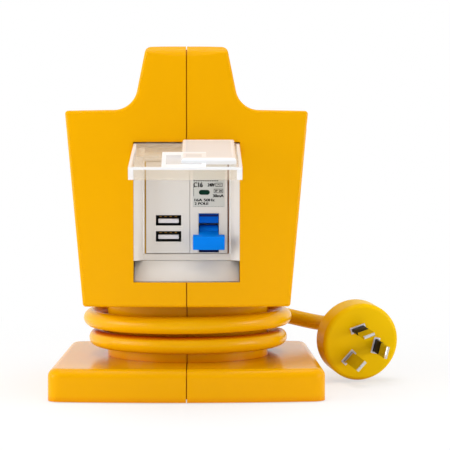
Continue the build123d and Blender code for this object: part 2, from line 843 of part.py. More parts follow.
def build_lid():
    """The clear lid, drawn closed and then swung open."""
    skirt = insert_face_y - hinge_y - soft_gap
    skin = lid_height
    body = lid_box((-lid_half, lid_half), (lid_start, lid_length), (-skirt, skin))
    inner_half = lid_half - lid_skirt
    hollow = lid_box(
        (-inner_half, inner_half),
        (lid_start + lid_skirt, lid_length - lid_skirt),
        (-skirt - overrun, skin - lid_sheet),
    )
    bubble_x = (bubble_left, bubble_left + bubble_width)
    bubble = lid_box(bubble_x, (bubble_start, bubble_end), (0, skin + bubble_height))
    top = bubble.faces().sort_by(Axis.Y)[0]
    bubble = fillet(top.edges(), bubble_round)
    bubble_inner = lid_box(
        (bubble_x[0] + lid_skirt, bubble_x[1] - lid_skirt),
        (bubble_start + lid_skirt, bubble_end - lid_skirt),
        (-overrun, skin + bubble_height - lid_skirt),
    )
    tab_x = (tab_left, tab_left + tab_width)
    tab = lid_wedge(tab_x, (lid_length - tab_length, lid_length), (skin / 2, skin, skin + tab_height))
    tab_inner = lid_wedge(
        (tab_x[0] + lid_skirt, tab_x[1] - lid_skirt),
        (lid_length - tab_length + lid_skirt, lid_length - 2 * lid_skirt),
        (-overrun, skin - lid_skirt, skin + tab_height - lid_skirt),
    )
    half = lid_barrel_half
    barrel = rod((-half, hinge_y, hinge_z), (half, hinge_y, hinge_z), lid_barrel_radius)
    web = lid_box((-half, half), (0, lid_start + lid_skirt), (0, lid_barrel_radius))
    lid = body + bubble + tab - hollow - bubble_inner - tab_inner + barrel + web
    lid -= rod((-lid_half, hinge_y, hinge_z), (lid_half, hinge_y, hinge_z), lid_pin_radius + shaft_gap)
    lid = lid.rotate(Axis((0, hinge_y, hinge_z), (-1, 0, 0)), lid_open_angle)
    save("window_lid", lid)
    pin_half = lid_barrel_half + ear_gap + ear_thickness
    save("lid_hinge_pin", rod((-pin_half, hinge_y, hinge_z), (pin_half, hinge_y, hinge_z), lid_pin_radius))


def live_pin_place(sign):
    """The middle of the left or right live pin, seen from the pin side with the earth pin below."""
    turn = math.radians(pin_spread_angle)
    return sign * blade_radius * math.sin(turn), blade_radius * math.cos(turn)


def pin_slots():
    """The three slots of an outlet, as faces about its middle."""
    slots = []
    for sign in (-1, 1):
        x, y = live_pin_place(sign)
        slots.append(Pos(x, y) * Rot(0, 0, sign * pin_tilt) * Rectangle(slot_width, slot_length))
    slots.append(Pos(0, -earth_radius) * Rectangle(slot_width, slot_length))
    return slots


def outlet():
    """One outlet about its own middle, its face towards +Z and its top towards +Y."""
    face_z = -outlet_sink
    flange_z = -wall - fit_gap / 2
    high_end = (Align.CENTER, Align.CENTER, Align.MAX)
    shape = Pos(0, 0, face_z) * Cylinder(outlet_radius, face_z - flange_z + outlet_flange, align=high_end)
    shape += Pos(0, 0, flange_z) * Cylinder(outlet_flange_radius, outlet_flange, align=high_end)
    shape += Pos(0, 0, flange_z) * Cylinder(outlet_body_radius, outlet_body_depth, align=high_end)
    dish = Pos(0, 0, face_z) * Cylinder(outlet_radius - 2 * outlet_flange, 2 * outlet_sink)
    shape -= dish
    for slot in pin_slots():
        shape -= extrude(Pos(0, 0, overrun) * slot, -2 * outlet_body_depth - overrun)
    return shape


def build_outlets():
    """Two outlets and three contact strips on each sloping side."""
    back = -wall - fit_gap / 2 - outlet_body_depth - fit_gap / 2
    strips = {"active": blade_radius, "neutral": 0.0, "earth": -earth_radius - strip_width / 2}
    for side, side_name in ((-1, "left"), (1, "right")):
        plane = side_plane(side)
        for place, place_name in ((-1, "front"), (1, "rear")):
            centre = plane * Pos(place * side * outlet_pitch / 2, 0, 0)
            save("outlet_" + side_name + "_" + place_name, centre * outlet())
        for name, low in strips.items():
            half = strip_length / 2
            bar = box((-half, half), (low, low + strip_width), (back - strip_thickness, back))
            save(name + "_strip_" + side_name, plane * bar)


def cord_clamp_place():
    """The middle of the clamp inside the drum."""
    return (inner_cord_x, drum_y + drum_radius * clamp_reach_share, exit_z)


def build_cord_entry():
    """The strain relief, the sheathed end inside the drum, and its clamp."""
    tip = exit_point(gland_mouth + gland_reach)
    mouth = exit_point(gland_mouth)
    root = exit_point(gland_mouth - gland_bury)
    gland = cone(mouth, tip, gland_root_radius, gland_tip_radius) + rod(root, mouth, gland_root_radius)
    save("cord_gland", gland)
    start = (inner_cord_x, root[1] - inner_cord_gap, exit_z)
    save("cord_inner_end", rod(start, (inner_cord_x, inner_cord_end_y, exit_z), cord_radius))
    x, y, z = cord_clamp_place()
    top = z + cord_radius + fit_gap / 2
    bar = box(
        (x - clamp_length / 2, x + clamp_length / 2),
        (y - clamp_width / 2, y + clamp_width / 2),
        (top, top + clamp_thickness),
    )
    screws = []
    for side in (-1, 1):
        place_x = x + side * clamp_hole_spread
        bar -= rod((place_x, y, 0), (place_x, y, top + overrun), small_screw_radius + fit_gap / 2)
        seat = (place_x, y, top + clamp_thickness)
        shank = rod((place_x, y, top - clamp_screw_reach), seat, small_screw_radius - fit_gap / 4)
        head = rod(seat, (place_x, y, seat[2] + small_head_height), small_head_radius)
        screws.append(shank + head)
    save("cord_clamp", bar)
    save("cord_clamp_screws", Compound(screws))


def station(angle, radius, z, slope):
    """A place on the winding with its heading, clockwise seen from above."""
    turn = math.radians(angle)
    place = Vector(radius * math.cos(turn), drum_y + radius * math.sin(turn), z)
    heading = Vector(math.sin(turn), -math.cos(turn), slope).normalized()
    return place, heading


def arc_edge(start, corner, end):
    """The arc that leaves the start towards the corner and reaches the end from it."""
    first = (corner - start).normalized()
    second = (end - corner).normalized()
    half = math.radians(first.get_angle(second)) / 2
    middle = (start + end) * 0.5
    share = math.cos(half) / (1 + math.cos(half))
    return Edge.make_three_point_arc(start, middle + (corner - middle) * share, end)


def biarc(start, end):
    """Two tangent arcs between two places with headings."""
    p0, t0 = start
    p1, t1 = end
    chord = p1 - p0
    both = t0 + t1
    a = 2 * (1 - t0.dot(t1))
    b = 2 * chord.dot(both)
    c = -chord.dot(chord)
    reach = (-b + math.sqrt(b * b - 4 * a * c)) / (2 * a)
    corner0 = p0 + t0 * reach
    corner1 = p1 - t1 * reach
    join = (corner0 + corner1) * 0.5
    return [arc_edge(p0, corner0, join), arc_edge(join, corner1, p1)]


def coil_edges():
    """The wound part of the cord, from the strain relief to where it leaves the drum."""
    tip = Vector(*exit_point(gland_mouth + gland_reach))
    end = Vector(*exit_point(gland_mouth + gland_reach + 2 * cord_radius))
    along = (end - tip).normalized()
    stations = [(end, along)]
    a = station_angle
    for angle in (a, a - 90, a - 180):
        stations.append(station(angle, turn_low_radius, turn_low_z, 0))
    stations.append(station(a - 270, turn_mid_radius, turn_mid_z, climb_slope))
    for angle in (a - 360, a - 450):
        stations.append(station(angle, turn_high_radius, turn_high_z, 0))
    stations.append(station(a - 540, turn_high_radius, turn_high_z, leave_hump_slope))
    last, heading = stations[-1]
    turned = math.radians(90 + a)
    radius = (leave_y - last.Y) / (1 - math.cos(turned))
    leave = Vector(last.X + radius * math.sin(turned), leave_y, leave_z)
    away = Vector(1, 0, leave_slope).normalized()
    stations.append((leave, away))
    edges = [Edge.make_line(tip, end)]
    for first, second in zip(stations, stations[1:]):
        edges += biarc(first, second)
    edges.append(Edge.make_line(leave, leave + away * 2 * cord_radius))
    return edges


def least_gap(edges):
    """The least gap of a tube to itself, on points along its middle."""
    points = []
    run = 0.0
    for edge in edges:
        count = max(2, int(edge.length / cord_radius * 2))
        for step in range(count):
            points.append((run + edge.length * step / count, edge.position_at(step / count)))
        run += edge.length
    least = run
    apart = 8 * cord_radius
    for index, (at, point) in enumerate(points):
        for other_at, other in points[index + 1:]:
            if other_at - at > apart:
                least = min(least, (point - other).length)
    return least - 2 * cord_radius


def tube(edges):
    """A round tube swept along joined lines and arcs."""
    path = Wire(edges)
    start = path.position_at(0)
    section = Plane(origin=start, z_dir=path.tangent_at(0)) * Circle(cord_radius)
    return sweep(section, path=path), path


def tail_path(start, heading, end, arrival):
    """Straight runs joined by tangent arcs, each as large as its two runs allow."""
    points = [start, start + heading * tail_first_run]
    points += [Vector(*p) for p in tail_middle]
    points += [end - arrival * tail_last_run, end]
    radii = []
    for before, here, after in zip(points, points[1:], points[2:]):
        turn = math.radians((here - before).get_angle(after - here))
        shorter = min((here - before).length, (after - here).length)
        radii.append(tail_arc_share * shorter / math.tan(turn / 2))
    print("tail radii", [round(r, 1) for r in radii])
    return FilletPolyline(*points, radius=radii)


def build_cord():
    edges = coil_edges()
    coil, path = tube(edges)
    print("coil gap to itself", round(least_gap(edges), 2), "length", round(path.length, 1))
    print("coil volume share", round(coil.volume / (math.pi * cord_radius ** 2 * path.length), 5))
    print("coil radii", [round(e.radius, 1) for e in path.edges() if e.geom_type == GeomType.CIRCLE])
    save("cord_coil", coil)
    back = Vector(*plug_point(plug_rim_length + plug_taper_length + plug_relief_length))
    line = tail_path(path.position_at(1), path.tangent_at(1), back, Vector(*plug_out).normalized())
    tail, path = tube(line.edges())
    print("tail volume share", round(tail.volume / (math.pi * cord_radius ** 2 * path.length), 5))
    print("tail length", round(path.length, 1))
    save("cord_tail", tail)


def plug_plane():
    """The plug's face, its own Y towards the live pins and its Z out of the face."""
    out = Vector(*plug_out).normalized()
    up = Vector(*plug_up)
    across = up.cross(out).normalized()
    return Plane(origin=plug_face, x_dir=across, z_dir=out)


def plug_point(distance):
    """A point behind the plug's face."""
    return tuple(Vector(*plug_face) - Vector(*plug_out).normalized() * distance)


def build_plug():
    """The plug: a round body that tapers to its strain relief, and three flat pins."""
    plane = plug_plane()
    neck = plug_rim_length + plug_taper_length
    body = rod(plug_point(0), plug_point(plug_rim_length), plug_radius)
    face_edge = body.edges().sort_by(lambda edge: (edge.center() - Vector(*plug_face)).length)[0]
    body = fillet(face_edge, plug_rim_round)
    body += cone(plug_point(plug_rim_length), plug_point(neck), plug_radius, plug_neck_radius)
    pins = {}
    for name, sign in (("active", -1), ("neutral", 1)):
        x, y = live_pin_place(sign)
        section = Rot(0, 0, sign * pin_tilt) * Rectangle(blade_thickness, blade_width)
        pins[name] = (Pos(x, y) * section, blade_length)
    pins["earth"] = (Pos(0, -earth_radius) * Rectangle(blade_thickness, blade_width), earth_length)
    for name, (face, length) in pins.items():
        pin = extrude(Pos(0, 0, -blade_bury) * face, blade_bury + length)
        tip = pin.faces().sort_by(Axis.Z)[-1].edges()
        pin = chamfer(tip, blade_thickness / 4)
        pin = plane * pin
        body -= pin
        save("plug_pin_" + name, pin)
    save("plug_body", body)
    save(
        "plug_strain_relief",
        cone(plug_point(neck), plug_point(neck + plug_relief_length), plug_relief_root, plug_relief_tip),
    )


build_casing()
build_casing_screws()
build_insert()
build_rail()
build_breaker()
build_lever()
build_button()
build_charger()
build_lid()
build_outlets()
build_cord_entry()
build_cord()
build_plug()
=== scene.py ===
import math

import bpy
from mathutils import Matrix, Vector


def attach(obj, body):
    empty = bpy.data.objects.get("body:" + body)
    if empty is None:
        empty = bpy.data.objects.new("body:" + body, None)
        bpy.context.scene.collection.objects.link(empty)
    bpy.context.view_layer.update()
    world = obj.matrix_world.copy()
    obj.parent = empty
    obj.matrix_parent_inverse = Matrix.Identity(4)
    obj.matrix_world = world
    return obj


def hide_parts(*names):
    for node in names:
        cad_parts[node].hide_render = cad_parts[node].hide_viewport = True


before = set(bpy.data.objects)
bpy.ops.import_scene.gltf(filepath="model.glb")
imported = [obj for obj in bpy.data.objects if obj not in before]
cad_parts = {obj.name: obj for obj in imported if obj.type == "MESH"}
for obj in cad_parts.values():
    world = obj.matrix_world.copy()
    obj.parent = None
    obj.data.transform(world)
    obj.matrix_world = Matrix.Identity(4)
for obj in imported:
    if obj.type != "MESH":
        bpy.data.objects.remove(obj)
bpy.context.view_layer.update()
bpy.ops.object.select_all(action="DESELECT")
scene = bpy.context.scene
scene.view_settings.view_transform = "Standard"

# Sizes and places are in millimetres, in the stand's own frame: x to the right, y to the rear, z up
MM = 0.001
HEAD_HALF_BOTTOM = 50.2
HEAD_HALF_TOP = 58.9
HEAD_HEIGHT = 95.1
HEAD_BOTTOM = 44.6
DRUM_Y = 2.0

# The window and the flat round the modules
WINDOW_WIDTH = 51.0
WINDOW_FRONT = -55.4
WINDOW_FLOOR = 56.8
WINDOW_TOP = 117.0
SILL_TOP = 66.7
RECESS_WIDTH = 42.6
RECESS_DEPTH = 7.2
APERTURE_WIDTH = 41.2
APERTURE_HEIGHT = 45.0
APERTURE_BOTTOM = 70.0
APERTURE_LIFT = 0.65
APERTURE_DEPTH = 2.0
INSERT_SHEET = 1.0

# The lid's pin, and the lid in its closed pose
PIN_Y = -57.3
PIN_Z = 119.9
LID_OPEN_ANGLE = 77.2
LID_HALF = 25.4
LID_LENGTH = 57.7
LID_SKIRT = 1.5

# The modules' faces, the toggle, and the height of each port's middle
FACE_Y = -49.0
TOGGLE_LEFT = 5.9
TOGGLE_RIGHT = 15.5
TOGGLE_PIVOT = (-43.7, 80.6)
TOGGLE_REST_ANGLE = 21.3
PORT_PLACES = (("lower", 78.45), ("upper", 86.25))

# The outlets in the sides
OUTLET_Z = 92.0
OUTLET_Y = 27.0
OUTLET_RADIUS = 20.0

# The middle of the plug's face, its directions out and up, and its pins round that middle
PLUG_PLACE = (91.3, 3.0, 20.8)
PLUG_OUT = (0.242, -0.962, -0.129)
PLUG_UP = (0.674, 0.0705, 0.739)
PLUG_DEPTH = 24
PIN_REACH = 7.92
EARTH_REACH = 10.31
PIN_SPREAD = 60
PIN_TILT = 30

# The cord, and the strain relief where it leaves the drum
CORD_RADIUS = 4.3
GLAND_TIP = (24.5, 42.5, 20.7)
GLAND_LENGTH = 28
GLAND_ANGLE = 60


def camera(place, lens, look_down, look_right):
    """The photograph's camera: its place in metres, and how far it looks down and right, in degrees."""
    data = bpy.data.cameras.new("front_camera")
    data.lens = lens
    data.sensor_width = 36
    eye = bpy.data.objects.new("front_camera", data)
    scene.collection.objects.link(eye)
    eye.location = place
    eye.rotation_euler = (math.radians(90 - look_down), 0, math.radians(-look_right))
    scene.camera = eye


camera((0.0074, -0.756, 0.1015), lens=116, look_down=1.42, look_right=0.91)


# The supply cord: out of its strain relief, round the drum, away behind the stand to the plug
TURN_STEPS = 24
LEAVING_STEPS = 6
# A spline of this kind runs a little inside its points
POINTS_WIDER = 1.006
LEAD_IN = [
    GLAND_TIP, (28.6, 40.1, 20.7), (33.8, 37.0, 20.8), (40.6, 30.8, 21.5),
    (45.5, 22.0, 22.6), (48.0, 12.0, 23.7), (47.8, 2.0, 24.4),
]
TAIL = [
    (17.1, 67.0, 35.6), (25.7, 67.0, 34.6), (42.5, 67.0, 32.5), (58.3, 66.2, 29.0), (71.9, 58.2, 26.4),
    (80.6, 45.7, 26.5), (83.56, 33.78, 24.93),
]
# Angle, radius, height and slope where the winding changes
WINDING = [
    (-8, 47.2, 24.7, 0.0), (-188, 47.2, 24.7, 0.0), (-278, 48.8, 34.6, 0.05), (-368, 50.1, 35.4, 0.0),
    (-548, 50.1, 35.4, 0.04),
]
# The quarter turn behind the drum: middle, radius, first angle, turn, height and slope at its ends, length
LEAVING_MIDDLE = (17.1, -0.4)
LEAVING_RADIUS = 67.4
LEAVING_START = 172
LEAVING_TURN = 82
LEAVING_ENDS = (35.4, 0.04), (35.6, -0.12)
LEAVING_LENGTH = 96


def between(first, second, share, length):
    """A height between two places that keeps the slope at both, each given as its height and slope."""
    z0, m0, z1, m1 = first[0], first[1] * length, second[0], second[1] * length
    a = 2 * share ** 3 - 3 * share ** 2 + 1
    b = share ** 3 - 2 * share ** 2 + share
    c = 3 * share ** 2 - 2 * share ** 3
    d = share ** 3 - share ** 2
    return a * z0 + b * m0 + c * z1 + d * m1


def winding_points():
    """The turns round the drum, clockwise as seen from above, the lower one rising to the upper behind it."""
    points = []
    step = 360 / TURN_STEPS
    angle = WINDING[0][0] - step / 2
    while angle > WINDING[-1][0]:
        for first, second in zip(WINDING, WINDING[1:]):
            if first[0] >= angle > second[0]:
                share = (first[0] - angle) / (first[0] - second[0])
                radius = first[1] + (second[1] - first[1]) * share
                length = math.radians(first[0] - second[0]) * radius
                height = between(first[2:], second[2:], share, length)
        turn = math.radians(angle)
        wide = radius * POINTS_WIDER
        points.append((wide * math.cos(turn), DRUM_Y + wide * math.sin(turn), height))
        angle -= step
    return points


def leaving_points():
    """The wide quarter turn behind the drum, over the turn below it."""
    points = []
    x, y = LEAVING_MIDDLE
    for step in range(1, LEAVING_STEPS):
        share = step / LEAVING_STEPS
        turn = math.radians(LEAVING_START - LEAVING_TURN * share)
        height = between(*LEAVING_ENDS, share, LEAVING_LENGTH)
        points.append((x + LEAVING_RADIUS * math.cos(turn), y + LEAVING_RADIUS * math.sin(turn), height))
    return points


def cord_curve():
    """The whole cord as one round curve."""
    points = LEAD_IN + winding_points() + leaving_points() + TAIL
    data = bpy.data.curves.new("supply_cord", "CURVE")
    data.dimensions = "3D"
    spline = data.splines.new("NURBS")
    spline.points.add(len(points) - 1)
    for place, point in zip(spline.points, points):
        place.co = (point[0] * MM, point[1] * MM, point[2] * MM, 1)
        place.radius = CORD_RADIUS * MM
    spline.order_u = 3
    spline.use_endpoint_u = True
    spline.resolution_u = 10
    data.bevel_depth = 1.0
    data.bevel_resolution = 7
    curve = bpy.data.objects.new("supply_cord", data)
    scene.collection.objects.link(curve)
    return curve


cord = cord_curve()
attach(cord, "root")
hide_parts("cord_coil", "cord_tail")
ON_THE_CORD = [
    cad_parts[node] for node in ("plug_body", "plug_pin_active", "plug_pin_neutral", "plug_pin_earth")
]


# Steps that the finishes are made of
def feed(tree, socket, value):
    """Gives a socket a plain value, or joins another step's result to it."""
    if isinstance(value, bpy.types.NodeSocket):
        tree.links.new(value, socket)
    else:
        socket.default_value = value


def number(tree, operation, *values):
    """One sum or comparison."""
    node = tree.nodes.new("ShaderNodeMath")
    node.operation = operation
    for socket, value in zip(node.inputs, values):
        feed(tree, socket, value)
    return node.outputs[0]


def spread(tree, value, low, high, to_low, to_high, curve="LINEAR"):
    """Carries a value from one range over to another."""
    node = tree.nodes.new("ShaderNodeMapRange")
    node.interpolation_type = curve
    ends = (("From Min", low), ("From Max", high), ("To Min", to_low), ("To Max", to_high))
    for name, end in (("Value", value), *ends):
        feed(tree, node.inputs[name], end)
    return node.outputs[0]


def mottle(tree, scale, detail):
    """Soft spots that stay with the piece."""
    place = tree.nodes.new("ShaderNodeTexCoord")
    spots = tree.nodes.new("ShaderNodeTexNoise")
    for name, value in (("Vector", place.outputs["Object"]), ("Scale", scale), ("Detail", detail)):
        feed(tree, spots.inputs[name], value)
    return spots.outputs["Fac"]


def inside(tree, value, low, high):
    """One between two millimetre marks, nought elsewhere."""
    over = number(tree, "GREATER_THAN", value, low * MM)
    under = number(tree, "LESS_THAN", value, high * MM)
    return number(tree, "MULTIPLY", over, under)


def surface_group():
    """Moulded plastic: clouded colour, painted shade that darkens the colour in creases and hollows, uneven
    gloss, and the faint peel of the mould.
    """
    group = bpy.data.node_groups.new("moulded_surface", "ShaderNodeTree")
    inputs = ("Clouding", "Cloud Size", "Roughness", "Unevenness", "Peel Size", "Crevice Shade")
    for way, names in (("INPUT", inputs), ("OUTPUT", ("Roughness", "Height"))):
        group.interface.new_socket(name="Colour", in_out=way, socket_type="NodeSocketColor")
        for name in names:
            group.interface.new_socket(name=name, in_out=way, socket_type="NodeSocketFloat")
    given = group.nodes.new("NodeGroupInput").outputs
    out = group.nodes.new("NodeGroupOutput").inputs

    clouds = number(group, "SUBTRACT", mottle(group, given["Cloud Size"], 3), 0.5)
    shade = group.nodes.new("ShaderNodeVectorMath")
    shade.operation = "SCALE"
    feed(group, shade.inputs[0], given["Colour"])
    feed(group, shade.inputs["Scale"], number(group, "MULTIPLY_ADD", clouds, given["Clouding"], 1.0))

    # Painted shade: ambient occlusion darkens the colour where nearby surfaces close in, in creases and
    # between the cord's turns
    occlusion = group.nodes.new("ShaderNodeAmbientOcclusion")
    occlusion.samples = 4
    occlusion.inputs["Distance"].default_value = 3.5 * MM
    shade_share = number(group, "SUBTRACT", 1.0, occlusion.outputs["AO"])
    darker = group.nodes.new("ShaderNodeGamma")
    feed(group, darker.inputs["Color"], shade.outputs[0])
    feed(group, darker.inputs["Gamma"], number(group, "MULTIPLY_ADD", shade_share, given["Crevice Shade"], 1.0))
    feed(group, out["Colour"], darker.outputs[0])

    smears = number(group, "SUBTRACT", mottle(group, 45, 5), 0.5)
    rough = number(group, "MULTIPLY_ADD", smears, given["Unevenness"], given["Roughness"])
    feed(group, out["Roughness"], rough)
    feed(group, out["Height"], mottle(group, given["Peel Size"], 2))
    return group


MOULDED = surface_group()


def linear(colour):
    """Written colours are as on the screen, from 0 to 255."""
    values = [c / 255 for c in colour]
    return [v / 12.92 if v <= 0.04045 else ((v + 0.055) / 1.055) ** 2.4 for v in values] + [1.0]


def moulded(name, colour, rough, clouding=0.05, cloud=14, uneven=0.06, peel=900, depth=0.000012, gloss=0.5,
            crevice_shade=0.0):
    material = bpy.data.materials.new(name)
    material.use_nodes = True
    tree = material.node_tree
    shader = tree.nodes["Principled BSDF"]
    shader.inputs["Specular IOR Level"].default_value = gloss
    surface = tree.nodes.new("ShaderNodeGroup")
    surface.node_tree = MOULDED
    amounts = (("Clouding", clouding), ("Cloud Size", cloud), ("Roughness", rough), ("Unevenness", uneven),
               ("Peel Size", peel), ("Crevice Shade", crevice_shade))
    for name, value in (("Colour", linear(colour)), *amounts):
        surface.inputs[name].default_value = value
    bump = tree.nodes.new("ShaderNodeBump")
    bump.inputs["Distance"].default_value = depth
    feed(tree, bump.inputs["Height"], surface.outputs["Height"])
    feed(tree, shader.inputs["Base Color"], surface.outputs["Colour"])
    feed(tree, shader.inputs["Roughness"], surface.outputs["Roughness"])
    feed(tree, shader.inputs["Normal"], bump.outputs["Normal"])
    return material


def metal(name, colour, rough):
    material = moulded(name, colour, rough, clouding=0.12, cloud=60, uneven=0.15, peel=400, depth=0.00001)
    material.node_tree.nodes["Principled BSDF"].inputs["Metallic"].default_value = 1.0
    return material


# Painted glare: the clear lid is made whiter and more solid along its walls and ridges, where clear plastic
# catches the light: how solid each of its places is made
FLAT_SOLID = 0.22
SIDE_SOLID = 0.75
CORNER_SOLID = 0.8
CREST_SOLID = 0.85
RIM_SOLID = 0.9
# Left, right, start and end of the bubble and the tab on the closed lid, and how solid the painted glare
# makes their tops
LID_RIDGES = ((-1.8, 22.8, 6.0, 52.0, 0.72), (-10.6, 9.2, 37.8, 57.7, 0.45))
# How far out of the pin's plane the ridges and the walls' crests start, and the widths of rims and corners
RIDGE_START = 4.15
CREST_START = 2.9
RIM_ACROSS = 1.9
RIM_ALONG = 4.0
CORNER_WIDTH = 1.0
EASE = 0.1


def lid_painted_glare(tree):
    """How solid the painted glare makes the lid, from each spot's place on the closed lid."""
    place = tree.nodes.new("ShaderNodeTexCoord")
    closed = tree.nodes.new("ShaderNodeVectorRotate")
    closed.rotation_type = "X_AXIS"
    closed.inputs["Center"].default_value = (0, PIN_Y * MM, PIN_Z * MM)
    closed.inputs["Angle"].default_value = math.radians(LID_OPEN_ANGLE)
    feed(tree, closed.inputs["Vector"], place.outputs["Object"])
    parts = tree.nodes.new("ShaderNodeSeparateXYZ")
    feed(tree, parts.inputs[0], closed.outputs[0])
    across = parts.outputs["X"]
    aside = number(tree, "ABSOLUTE", across)
    down = number(tree, "SUBTRACT", PIN_Z * MM, parts.outputs["Z"])
    out = number(tree, "SUBTRACT", PIN_Y * MM, parts.outputs["Y"])

    side = number(tree, "GREATER_THAN", aside, (LID_HALF - LID_SKIRT) * MM)
    corner = number(tree, "GREATER_THAN", aside, (LID_HALF - LID_SKIRT - CORNER_WIDTH) * MM)
    front = number(tree, "GREATER_THAN", down, (LID_LENGTH - LID_SKIRT) * MM)
    crest = number(tree, "GREATER_THAN", out, CREST_START * MM)
    amounts = [
        (number(tree, "MULTIPLY", number(tree, "MAXIMUM", side, front), crest), CREST_SOLID),
        (side, SIDE_SOLID),
        (number(tree, "MULTIPLY", front, corner), CORNER_SOLID),
    ]
    raised = number(tree, "GREATER_THAN", out, RIDGE_START * MM)
    for left, right, start, end, share in LID_RIDGES:
        region = number(tree, "MULTIPLY", inside(tree, across, left - EASE, right + EASE), raised)
        region = number(tree, "MULTIPLY", region, inside(tree, down, start - EASE, end + EASE))
        core = inside(tree, across, left + RIM_ACROSS, right - RIM_ACROSS)
        core = number(tree, "MULTIPLY", core, inside(tree, down, start + RIM_ALONG, end - RIM_ALONG))
        rim = number(tree, "MULTIPLY", region, number(tree, "SUBTRACT", 1.0, core))
        amounts += [(region, share), (rim, RIM_SOLID)]
    glare = FLAT_SOLID
    for mask, share in amounts:
        glare = number(tree, "MAXIMUM", glare, number(tree, "MULTIPLY", mask, share))
    return glare


def clear_lid_material():
    """Clear plastic, warm where one sees through it and cool white where painted glare makes it solid."""
    material = moulded("lid_clear", (240, 232, 220), 0.1, clouding=0.02, depth=0.000006)
    tree = material.node_tree
    shader = tree.nodes["Principled BSDF"]
    glare = lid_painted_glare(tree)
    feed(tree, shader.inputs["Alpha"], glare)
    tint = tree.nodes.new("ShaderNodeMix")
    tint.data_type = "RGBA"
    tint.inputs[6].default_value = linear((236, 214, 176))
    tint.inputs[7].default_value = linear((241, 243, 247))
    feed(tree, tint.inputs[0], spread(tree, glare, 0.2, 0.32, 0.0, 1.0))
    feed(tree, shader.inputs["Base Color"], tint.outputs[2])
    return material


# Where a finish is given a crevice amount, painted shade darkens its creases that strongly
yellow = moulded("yellow_casing", (227, 162, 0), 0.15, clouding=0.07, cloud=9, gloss=0.07, crevice_shade=0.9)
sheath = moulded("yellow_sheath", (231, 174, 0), 0.22, clouding=0.06, cloud=40, peel=1500, gloss=0.12,
                 crevice_shade=4.5)
plug_yellow = moulded("plug_yellow", (228, 184, 0), 0.3, clouding=0.05, cloud=60, peel=1300, gloss=0.05,
                      crevice_shade=0.8)
white = moulded("insert_white", (226, 221, 214), 0.3, clouding=0.03)
case_white = moulded("module_white", (224, 221, 216), 0.38, clouding=0.03)
outlet_white = moulded("outlet_white", (232, 230, 226), 0.28, clouding=0.03)
# Painted highlight: near-white strips that stand for the bright edges beside the modules
edge_highlight_white = moulded("edge_highlight_white", (255, 254, 252), 0.2, clouding=0.01)
# Painted light and shade: one casing rib colour, lit for the left rib and shaded for the right
rib_painted_lit = moulded("casing_rib_painted_lit", (205, 160, 10), 0.3)
rib_painted_shade = moulded("casing_rib_painted_shade", (120, 62, 8), 0.4)
print_grey = moulded("label_film", (206, 208, 204), 0.5, gloss=0.2)
ink = moulded("label_ink", (10, 11, 14), 0.5, gloss=0.1)
green = moulded("indicator_green", (4, 46, 32), 0.4, gloss=0.1)
board_green = moulded("board_green", (20, 90, 50), 0.45, clouding=0.3, cloud=300)
blue = moulded("lever_blue", (0, 124, 232), 0.34, clouding=0.05, cloud=90, gloss=0.05)
button_blue = moulded("button_blue", (0, 92, 200), 0.38, clouding=0.05, cloud=90, gloss=0.05)
# Painted shade: navy for the slot under the toggle and the shadow along the test button's top
navy_shade = moulded("painted_slot_shade", (8, 22, 88), 0.5, gloss=0.15)
port_black = moulded("port_black", (10, 10, 12), 0.35, clouding=0.2, gloss=0.3)
tongue_grey = moulded("tongue_grey", (222, 220, 224), 0.4)
collar_grey = moulded("pin_collar", (196, 196, 204), 0.25)
sleeve_black = moulded("pin_sleeve", (4, 5, 12), 0.35, clouding=0.2, gloss=0.15)
steel = metal("zinc_steel", (188, 190, 194), 0.32)
nickel = metal("nickel_pin", (206, 204, 198), 0.12)
gold = metal("contact_gold", (214, 160, 84), 0.25)
brass = metal("brass_strip", (201, 162, 75), 0.3)
lid_clear = clear_lid_material()

FINISH = {
    "casing_left": yellow, "casing_right": yellow, "grip_left": yellow, "grip_right": yellow,
    "breaker_frame": white, "breaker_case": case_white, "usb_case": case_white, "breaker_label": print_grey,
    "breaker_indicator": green, "breaker_lever": blue, "breaker_test_button": button_blue,
    "window_lid": lid_clear, "usb_circuit_board": board_green,
    "usb_tongue_lower": tongue_grey, "usb_tongue_upper": tongue_grey,
    "usb_shell_lower": port_black, "usb_shell_upper": port_black,
    "cord_gland": sheath, "cord_inner_end": sheath, "cord_clamp": outlet_white,
    "plug_body": plug_yellow, "plug_strain_relief": plug_yellow,
}


def finish_of(node):
    """The finish of a solid: its own, or that of its kind, and steel for screws, pins and rail."""
    if node in FINISH:
        return FINISH[node]
    if node.startswith("plug_pin_"):
        return nickel
    if "_strip_" in node:
        return brass
    return outlet_white if node.startswith("outlet_") else steel


for node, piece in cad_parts.items():
    piece.data.materials.clear()
    piece.data.materials.append(finish_of(node))
cord.data.materials.append(sheath)


# Tools for the new pieces
def apply_place():
    bpy.ops.object.transform_apply(location=True, rotation=True, scale=True)


def settle(piece, name, finish, body="root", smooth=35):
    """Puts the piece's place into its mesh, and gives it its name, finish and body."""
    apply_place()
    bpy.ops.object.shade_smooth_by_angle(angle=math.radians(smooth))
    piece.name = name
    piece.data.materials.clear()
    piece.data.materials.append(finish)
    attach(piece, body)
    bpy.ops.object.select_all(action="DESELECT")
    return piece


def block(x, y, z):
    """A block between the low and high value of each pair, as a start for shaping."""
    middle = [(a + b) / 2 * MM for a, b in (x, y, z)]
    bpy.ops.mesh.primitive_cube_add(size=1, location=middle)
    piece = bpy.context.object
    piece.scale = [(b - a) * MM for a, b in (x, y, z)]
    apply_place()
    return piece


def panel(width, height, y, z, lean):
    """A flat panel in the stand's middle plane, tilted up from the floor by so many radians."""
    bpy.ops.object.select_all(action="DESELECT")
    bpy.ops.mesh.primitive_plane_add(size=1, location=(0, y * MM, z * MM), rotation=(lean, 0, 0))
    piece = bpy.context.object
    piece.scale = (width * MM, height * MM, 1)
    apply_place()
    return piece


